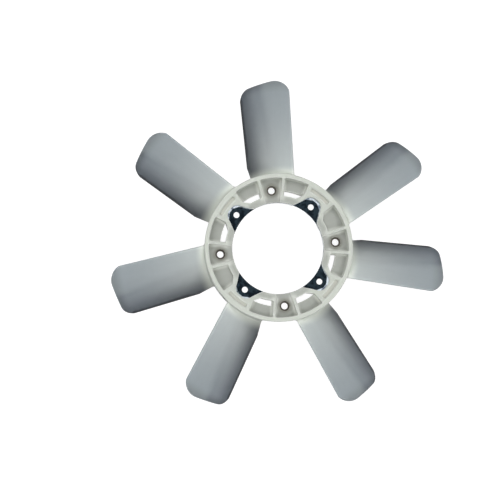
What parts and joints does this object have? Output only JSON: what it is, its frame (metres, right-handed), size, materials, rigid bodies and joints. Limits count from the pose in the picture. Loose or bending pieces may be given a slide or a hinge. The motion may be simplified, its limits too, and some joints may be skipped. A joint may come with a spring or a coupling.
{
  "type": "engine cooling fan blade",
  "caption": "Moulded engine cooling fan with unevenly spaced cambered blades around a ribbed hub, and a steel mounting ring with bolt holes moulded into it.",
  "frame": {"origin": "on the fan axis, in the front face of the steel mounting ring", "axes": "+Z along the fan axis towards the ribbed front of the hub, +X through one of the bolt holes in the covered tabs"},
  "size_m": [0.4049, 0.3985, 0.055],
  "materials": {
    "natural_nylon": "natural white moulded nylon, satin",
    "plated_steel": "bright zinc plated sheet"
  },
  "bodies": {
    "root": {"fan_moulding": "natural_nylon", "steel_mounting_ring": "plated_steel"}
  },
  "joints": []
}
